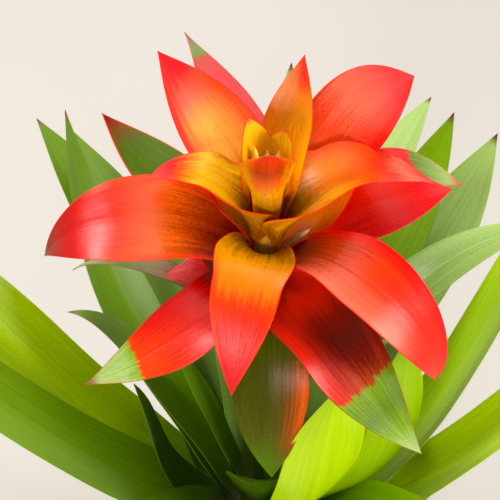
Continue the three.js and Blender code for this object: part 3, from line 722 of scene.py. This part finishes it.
def soil_skin():
    skin = Skin("soil_skin", rough=0.95, shine=0.2)
    place = skin.place()
    crumbs = skin.noise(place, scale=420, detail=5, rough=0.7)
    fibres = skin.noise(skin.scaled(place, (300, 1500, 300)), detail=2)
    color = skin.ramp(crumbs, {0.3: 0x1c120a, 0.5: 0x38261a, 0.62: 0x4c3826, 0.75: 0x6a5238})
    color = skin.shaded(0.4, color, fibres, 0.45, 0x8a7a68, 0.6)
    skin.bump(crumbs, 0.9, 0.0015)
    return skin.finish(Base_Color=color)


def twine_skin():
    skin = Skin("twine_skin", rough=0.9, shine=0.2)
    strand = skin.uv("Strand")
    hairs = skin.noise(skin.scaled(strand, (3, 26, 0)), detail=4, rough=0.7)
    length = skin.noise(skin.scaled(strand, (0.4, 0.5, 0)), detail=2)
    grain = skin.noise(skin.place(), scale=1400, detail=3)
    color = skin.ramp(hairs, {0.25: 0x6e5230, 0.45: 0xa98252, 0.6: 0xc6a26e, 0.8: 0xe0c596})
    color = skin.shaded(0.5, color, length, 0.35, 0xb49a78, 0.65)
    color = skin.shaded(0.3, color, grain, 0.35, 0x8a6c48, 0.6)
    skin.bump(hairs, 0.7, 0.0006)
    return skin.finish(Base_Color=color, Sheen_Weight=0.1)


# Stalk and flowers
def closed_faces(rows, around, count):
    """Faces of a turned solid of count points, of which the last two are the middles of its ends."""
    last = (rows - 1) * around
    faces = [face[::-1] for face in grid_faces(rows, around)]
    faces += [((k + 1) % around, k, count - 2) for k in range(around)]
    return faces + [(last + k, last + (k + 1) % around, count - 1) for k in range(around)]


def lathe(profile, sides):
    """A closed solid turned round +Z from points (radius, height) that run upward."""
    angle = np.arange(sides) * 2 * math.pi / sides
    ring = np.stack([np.cos(angle), np.sin(angle)], axis=-1)
    profile = np.asarray(profile, dtype=float)
    walls = [np.column_stack([ring * r, np.full(sides, z)]) for r, z in profile]
    points = np.concatenate(walls + [[[0, 0, profile[0, 1]], [0, 0, profile[-1, 1]]]])
    return points, closed_faces(len(profile), sides, len(points))


def joined(parts):
    """Several lists of points and faces as one."""
    points, faces, count = [], [], 0
    for part_points, part_faces in parts:
        points.append(part_points)
        faces += [tuple(k + count for k in face) for face in part_faces]
        count += len(part_points)
    return np.concatenate(points), faces


def leaning(points, degrees, axis):
    return points @ np.array(Matrix.Rotation(math.radians(degrees), 3, axis)).T


def bud(length, radius, twist):
    """A closed flower: three petals rolled round each other to a soft point."""
    v = np.linspace(0, 1, BUD_ROWS)
    swell = radius * keyed([(0, 0.5), (0.3, 0.88), (0.58, 1), (0.86, 0.58), (1, 0.06)], v)
    points, faces = lathe(np.column_stack([swell, v * length]), BUD_SIDES)
    angle = np.arctan2(points[:, 1], points[:, 0])
    rise = points[:, 2] / length
    fold = np.abs(np.sin(1.5 * (angle + twist * rise)))
    pinch = 1 - 0.2 * (1 - fold) ** 3 * smooth(0.1, 0.5, rise)
    points[:, :2] *= pinch[:, None]
    return points, faces


def flower_buds(material):
    foot = HEAD_Z + STEM_TOP + GAP
    low, high, tall = BUD_FOOT
    parts = [lathe([(low, foot), (low, foot + tall / 3), (high, foot + tall)], 32)]
    for k, (x, y, length) in enumerate(BUDS):
        points, faces = bud(length, BUD_R, 1.2 + k)
        points = leaning(leaning(points, -BUD_LEAN * y, "X"), BUD_LEAN * x, "Y")
        parts.append((points + [x, y, foot + tall / 3], faces))
    points, faces = joined(parts)
    return add_piece("flower_buds_open", points, faces, material)


def side_bud(material):
    points, faces = bud(SIDE_BUD["length"], SIDE_BUD["r"], 0.8)
    points = leaning(points, SIDE_BUD["lean"], "Y") + [SCAPE_R + GAP + 0.6, 0, HEAD_Z + SIDE_BUD["z"]]
    return add_piece("side_bud_flower", turned(points, SIDE_BUD["az"]), faces, material)


def stalk(material):
    """The stem: a foot in the soil, the cone that the leaves grow from, and the flower stalk."""
    keys = [(SOCKET_R, TOP_OF_SOIL - SOCKET_DEPTH), (SOCKET_R, TOP_OF_SOIL + GAP),
            (CAUDEX_LOW[1] - 1.5, TOP_OF_SOIL + GAP), (CAUDEX_LOW[1], CAUDEX_LOW[0]),
            (CAUDEX_HIGH[1], CAUDEX_HIGH[0]), (SCAPE_R, CAUDEX_HIGH[0] + 12), (SCAPE_R, HEAD_Z),
            (SCAPE_R, HEAD_Z + STEM_TOP - 4), (SCAPE_R - 1.5, HEAD_Z + STEM_TOP)]
    profile = []
    for (r0, z0), (r1, z1) in zip(keys, keys[1:]):
        steps = max(1, round(math.hypot(r1 - r0, z1 - z0) / 1.5))
        profile += [(r0 + (r1 - r0) * k / steps, z0 + (z1 - z0) * k / steps) for k in range(steps)]
    points, faces = lathe(profile + [keys[-1]], 40)
    angle = np.arctan2(points[:, 1], points[:, 0])
    ribs = 1 + 0.02 * np.sin(9 * angle + points[:, 2] * 0.02) * smooth(130, 180, points[:, 2])
    scars = 1 - 0.03 * (np.abs(np.sin(points[:, 2] * math.pi / SCAR_GAP)) < 0.15)
    points[:, :2] *= (ribs * scars)[:, None]
    return add_piece("stem_stalk", points, faces, material)


# Ball
def scattered(count, seed):
    """Even random directions."""
    draw = np.random.default_rng(seed)
    return unit(draw.normal(size=(count, 3)))


def distance_to(directions, centres):
    """Millimetres over the ball from each direction to the nearest centre."""
    nearest = np.empty(len(directions))
    for rows in np.array_split(np.arange(len(directions)), 24):
        nearest[rows] = (directions[rows] @ centres.T).max(axis=1)
    return np.arccos(np.clip(nearest, -1, 1)) * BALL_R


def cushions(directions, centres, reach):
    """Low domes round the centres, 0 at their feet and 1 at their tops."""
    return np.sqrt(np.clip(1 - (distance_to(directions, centres) / reach) ** 2, 0, 1))


def moss_height(directions):
    """Height of the moss over the ball's own radius, in millimetres, pressed in by the twine."""
    relief = sum(high * cushions(directions, scattered(count, seed), reach)
                 for high, count, seed, reach in CUSHIONS)
    route = unit(twine_points(640)[0] - [0, 0, CENTRE_Z])
    beside = distance_to(directions, route)
    return relief * smooth(0.5, 5, beside) - MOSS_LOW, beside


def moss(material):
    neck = math.asin(NECK_R / BALL_R)
    foot = math.pi - math.asin(FLAT_R / BALL_R)
    polar = np.linspace(neck, foot, MOSS_ROWS)
    azimuth = np.arange(MOSS_SIDES) * 2 * math.pi / MOSS_SIDES
    p, a = np.meshgrid(polar, azimuth, indexing="ij")
    directions = np.stack([np.sin(p) * np.cos(a), np.sin(p) * np.sin(a), np.cos(p)], axis=-1)
    height, _ = moss_height(directions.reshape(-1, 3))
    height = height.reshape(p.shape) * smooth(0, 0.08, p - neck) * smooth(0, 0.06, foot - p)
    outer = directions * (BALL_R + height)[..., None] + [0, 0, CENTRE_Z]
    inner_r = BALL_R - MOSS_THICK
    inner_neck = math.asin(NECK_R / inner_r)
    inner_foot = math.acos((MOSS_THICK - CENTRE_Z) / inner_r)
    inner = []
    for angle in np.linspace(inner_neck, inner_foot, 14):
        ring = np.stack([np.cos(azimuth), np.sin(azimuth)], axis=-1) * inner_r * math.sin(angle)
        inner.append(np.column_stack([ring, np.full(MOSS_SIDES, CENTRE_Z + inner_r * math.cos(angle))]))
    points = np.concatenate([outer[::-1].reshape(-1, 3), np.concatenate(inner),
                             [[0, 0, 0], [0, 0, MOSS_THICK]]])
    faces = closed_faces(MOSS_ROWS + len(inner), MOSS_SIDES, len(points))
    points[:, 2] = np.maximum(points[:, 2], 0)
    shoots, shoot_faces, tone = moss_shoots(neck, foot)
    tones = np.concatenate([np.zeros((len(points), 2)), tone])
    points, faces = joined([(points, faces), (shoots, shoot_faces)])
    return add_piece("moss_cover_cushions", points, faces, material, {"Tuft": tones})


def moss_shoots(neck, foot):
    """Tiny pointed leaves in tufts all over the ball, each a slim spike sunk into the cushions."""
    draw = np.random.default_rng(11)
    tufts = scattered(TUFTS, 12)
    polar = np.arccos(tufts[:, 2])
    height, beside = moss_height(tufts)
    kept = (polar > neck + 0.03) & (polar < foot - 0.02) & (beside > 1.8)
    tufts, height = tufts[kept], height[kept]
    count = len(tufts) * TUFT_LEAVES
    out = np.repeat(tufts, TUFT_LEAVES, axis=0)
    root = out * (BALL_R - 0.6 + np.repeat(height, TUFT_LEAVES))[:, None]
    lean = unit(np.cross(out, draw.normal(size=(count, 3))))
    reach = draw.uniform(*SHOOT_LEAN, count)[:, None]
    aim = unit(out + lean * reach)
    side = unit(np.cross(aim, out)) * draw.uniform(*SHOOT_HALF_WIDTH, count)[:, None]
    back = unit(np.cross(side, aim)) * 0.25
    root = root + lean * draw.uniform(0.1, 0.7, count)[:, None]
    length = draw.uniform(*SHOOT_LENGTH, count)[:, None]
    corners = np.stack([root + side, root - side, root + back, root + aim * length], axis=1)
    corners = corners + [0, 0, CENTRE_Z]
    corners[..., 2] = np.maximum(corners[..., 2], 0.02)
    base = np.arange(count)[:, None] * 4
    faces = (base[:, None] + np.array([[0, 1, 3], [1, 2, 3], [2, 0, 3], [1, 0, 2]])).reshape(-1, 3)
    tuft_tone = np.repeat(draw.uniform(0, 1, len(tufts)), TUFT_LEAVES)
    tone = np.stack([np.repeat(tuft_tone, 4), np.tile([0.25, 0.25, 0.25, 1.0], count)], axis=-1)
    return corners.reshape(-1, 3), [tuple(face) for face in faces.tolist()], tone


def soil(material):
    """The soil inside the moss, crumbly where it shows round the plant."""
    core = BALL_R - MOSS_THICK - 2 * GAP
    start = math.acos((MOSS_THICK + GAP - CENTRE_Z) / core)
    end = math.acos((TOP_OF_SOIL - CENTRE_Z) / core)
    wall = [(core * math.sin(angle), CENTRE_Z + core * math.cos(angle))
            for angle in np.linspace(start, end, 30)]
    hole = SOCKET_R + GAP
    top = [(r, TOP_OF_SOIL) for r in np.linspace(wall[-1][0], hole, 14)[1:]]
    socket = [(hole, TOP_OF_SOIL - SOCKET_DEPTH - GAP)]
    points, faces = lathe(wall + top + socket, 120)
    radius = np.hypot(points[:, 0], points[:, 1])
    rim = core * math.sin(end)
    shown = smooth(hole, hole + 1, radius) * smooth(rim + 0.5, rim - 2, radius)
    crumbs = (np.sin(points @ [1.9, 0.7, 0]) * np.sin(points @ [-0.8, 2.3, 0])
              + np.sin(points @ [3.1, 2.7, 0]))
    points[:, 2] += np.where(points[:, 2] > TOP_OF_SOIL - 1, shown * (crumbs * 0.25 - 0.6), 0)
    return add_piece("soil_ball_crumbs", points, faces, material)


# Twine
def twine_direction(i):
    """Directions from the ball's middle at steps i, forty to a turn."""
    turn = 2 * math.pi * i / 40
    flat = np.stack([np.cos(turn), np.sin(turn), np.zeros_like(turn)], axis=-1)
    tilted = leaning(flat, TWINE_TILT, "X")
    swing = math.radians(TWINE_START) + 2 * math.pi * i / (40 * TWINE_TURNS)
    x, y = tilted[:, 0], tilted[:, 1]
    return np.stack([x * np.cos(swing) - y * np.sin(swing), x * np.sin(swing) + y * np.cos(swing),
                     tilted[:, 2]], axis=-1)


def twine_points(count):
    """The wound twine's middle line, which climbs over its earlier turns, and its directions."""
    whole = 40 * TWINE_TURNS
    i = np.arange(count) * whole / count
    direction = twine_direction(i)
    later = i[:, None] - i[None, :]
    earlier = (later > 8) & (whole - later >= 8)
    apart = np.arccos(np.clip(direction @ direction.T, -1, 1)) * BALL_R
    near, far, high = CLIMB
    climb = np.where(earlier, 1 - smooth(near, far, apart), 0).max(axis=1)
    radius = BALL_R + GAP + TWINE_D / 2 + high * climb - 0.4
    return direction * radius[:, None] + [0, 0, CENTRE_Z], direction


def rope(path, out, closed, twists):
    """Three strands laid round a path. out points away from the ball along it."""
    if closed:
        along = unit(np.roll(path, -1, axis=0) - np.roll(path, 1, axis=0))
    else:
        along = unit(np.gradient(path, axis=0))
    side = unit(np.cross(along, out))
    up = np.cross(side, along)
    run = np.arange(len(path)) / (len(path) if closed else len(path) - 1)
    section = np.arange(STRAND_SIDES) * 2 * math.pi / STRAND_SIDES
    parts, maps = [], []
    for strand in range(3):
        angle = 2 * math.pi * (twists * run + strand / 3)
        middle = path + STRAND_OUT * (np.cos(angle)[:, None] * up + np.sin(angle)[:, None] * side)
        points = middle[:, None] + STRAND_R * (np.cos(section)[None, :, None] * up[:, None]
                                               + np.sin(section)[None, :, None] * side[:, None])
        rows = len(path)
        faces = grid_faces(rows, STRAND_SIDES)
        if closed:
            end, rest = (rows - 1) * STRAND_SIDES, range(STRAND_SIDES)
            faces += [(end + k, k, (k + 1) % STRAND_SIDES, end + (k + 1) % STRAND_SIDES) for k in rest]
        else:
            faces.append(tuple(range(STRAND_SIDES - 1, -1, -1)))
            faces.append(tuple((rows - 1) * STRAND_SIDES + k for k in range(STRAND_SIDES)))
        parts.append((points.reshape(-1, 3), faces))
        ring = np.broadcast_to(section / 6, (rows, STRAND_SIDES))
        long = np.broadcast_to((run * twists)[:, None] + strand * 7.3, (rows, STRAND_SIDES))
        maps.append(np.stack([long, ring], axis=-1).reshape(-1, 2))
    points, faces = joined(parts)
    return points, faces, np.concatenate(maps)


def fibre(start, aim, bend, length):
    """One loose fibre: a slim bent spike with three sides."""
    steps = np.linspace(0, 1, 5)[:, None]
    path = start + aim * length * steps + bend * length * 0.4 * steps ** 2
    side = unit(np.cross(aim, bend))
    other = np.cross(side, aim)
    points = []
    for k, at in enumerate(path[:-1]):
        thin = FIBRE_R * (1 - 0.2 * k)
        points += [at + side * thin, at - side * thin / 2 + other * thin,
                   at - side * thin / 2 - other * thin]
    points = np.array(points + [path[-1]])
    faces = [face[::-1] for face in grid_faces(4, 3)] + [(0, 1, 2)]
    faces += [(9 + k, 9 + (k + 1) % 3, 12)[::-1] for k in range(3)]
    return points, faces


def twine(material):
    path, out = twine_points(TWINE_STEPS)
    parts = [rope(path, out, True, TWISTS)]
    outward = twine_direction(np.array([0.0]))[0]
    centre = np.array([0, 0, CENTRE_Z])
    knot = centre + outward * (BALL_R + GAP + KNOT_R)
    parts.append(knot_rope(knot, outward))
    draw = np.random.default_rng(31)
    loose = []
    for swing in TAILS:
        down = turned(outward[None], swing)[0] - [0, 0, TAIL_DROP]
        share = np.linspace(0, 1, 36)[:, None]
        lift = BALL_R + GAP + 2.4 + 1.6 * (1 - share)
        along = unit(outward * (1 - share) + unit(down) * share)
        parts.append(rope(centre + along * lift, along, False, TAIL_TWISTS))
        end, aim = centre + along[-1] * lift[-1], unit(along[-1] - along[-3])
        for _ in range(TAIL_FIBRES):
            spread = unit(aim + draw.normal(size=3) * 0.35)
            loose.append(fibre(end - aim, spread, unit(draw.normal(size=3)), draw.uniform(4, 8)))
    for k in draw.integers(0, TWINE_STEPS, LOOSE_FIBRES):
        aim = unit(out[k] * draw.uniform(0.2, 0.8) + draw.normal(size=3) * 0.7)
        loose.append(fibre(path[k] + out[k] * 0.8, aim, unit(draw.normal(size=3)), draw.uniform(1.5, 4)))
    maps = [part[2] for part in parts] + [np.zeros((len(points), 2)) for points, _ in loose]
    points, faces = joined([part[:2] for part in parts] + loose)
    return add_piece("twine_cord", points, faces, material, {"Strand": np.concatenate(maps)})


def knot_rope(knot, outward):
    """The knot: the cord passed through itself in the closed line of an overhand knot."""
    t = np.linspace(0, 2 * math.pi, KNOT_STEPS + 1)[:-1]
    line = np.stack([np.sin(t) + 2 * np.sin(2 * t), np.cos(t) - 2 * np.cos(2 * t),
                     -np.sin(3 * t) * 1.1], axis=-1)
    side = unit(np.cross([0, 0, 1], outward))
    up = np.cross(outward, side)
    path = knot + (line @ np.stack([side, up, outward])) * KNOT_SIZE
    return rope(path, np.broadcast_to(outward, path.shape), True, KNOT_TWISTS)


# Stage
def add_stage():
    side = FLOOR_SIDE / 2
    floor = bpy.data.meshes.new("floor")
    floor.from_pydata([(-side, -side, 0), (side, -side, 0), (side, side, 0), (-side, side, 0)], [],
                      [(0, 1, 2, 3)])
    paint = Skin("floor_paint", rough=0.7, shine=0.2)
    mottle = paint.noise(paint.place(), scale=3)
    floor.materials.append(paint.finish(Base_Color=paint.ramp(mottle, FLOOR_COLORS)))
    placed("floor", floor)


def add_camera():
    slope = math.radians(CAMERA_ELEVATION)
    back = Vector((0, -math.cos(slope), math.sin(slope)))
    camera = placed("camera", bpy.data.cameras.new("camera"))
    camera.data.lens = CAMERA_LENS
    camera.location = (Vector(LOOK_AT) + back * CAMERA_AWAY) * MM
    camera.rotation_euler = back.to_track_quat("Z", "Y").to_euler()
    bpy.context.scene.camera = camera


def add_lights():
    world = bpy.data.worlds.new("room")
    world.use_nodes = True
    room = world.node_tree.nodes["Background"]
    room.inputs["Color"].default_value = linear(ROOM_COLOR)
    room.inputs["Strength"].default_value = ROOM_LIGHT
    bpy.context.scene.world = world
    for name, azimuth, elevation, away, size, watts in LAMPS:
        a, e = math.radians(azimuth), math.radians(elevation)
        toward = Vector((math.cos(a) * math.cos(e), math.sin(a) * math.cos(e), math.sin(e)))
        data = bpy.data.lights.new(name, "AREA")
        data.size = size
        data.energy = watts
        data.color = linear(LAMP_COLOR)[:3]
        lamp = placed(name, data)
        lamp.location = Vector(LOOK_AT) * MM + toward * away
        lamp.rotation_euler = toward.to_track_quat("Z", "Y").to_euler()
    bpy.context.scene.view_settings.view_transform = "Standard"


def add_blades():
    for k, b in enumerate(all_blades()):
        look = BRACT_LOOKS.get(b["id"]) or leaf_look(k - len(BRACTS))
        _, _, length = blade_rib(b, np.array([0.0, 1.0]))
        skin = blade_skin(b["node"] + "_skin", {**LOOK, **look}, b["w"], length)
        dress(blade_piece(b, skin), b["node"])


def leaf_look(k):
    # The leaf's greens from the table, partly painted light and shade, from its pale sheath to its tip.
    body_green, outer = LEAF_GREENS_AND_LIGHT[k]
    along = {0: PALE_SHEATH, 0.07: SAGE, 0.2: body_green, 0.65: body_green, 0.92: outer}
    tip = (0.975, 0.03, {0.97: MOSSY, 0.985: TAN, 1: WINE})
    return {**LEAF_LOOK, "along": along, "tip": tip}


add_camera()
add_lights()
add_stage()
add_blades()
dress(stalk(stalk_skin()), "stem")
dress(flower_buds(flower_skin("flower_skin", *FLOWER_COLORS)), "flower_buds")
dress(side_bud(flower_skin("side_flower_skin", *SIDE_BUD_COLORS)), "side_bud")
dress(moss(moss_skin()), "moss_cover")
dress(soil(soil_skin()), "soil_ball")
dress(twine(twine_skin()), "twine")
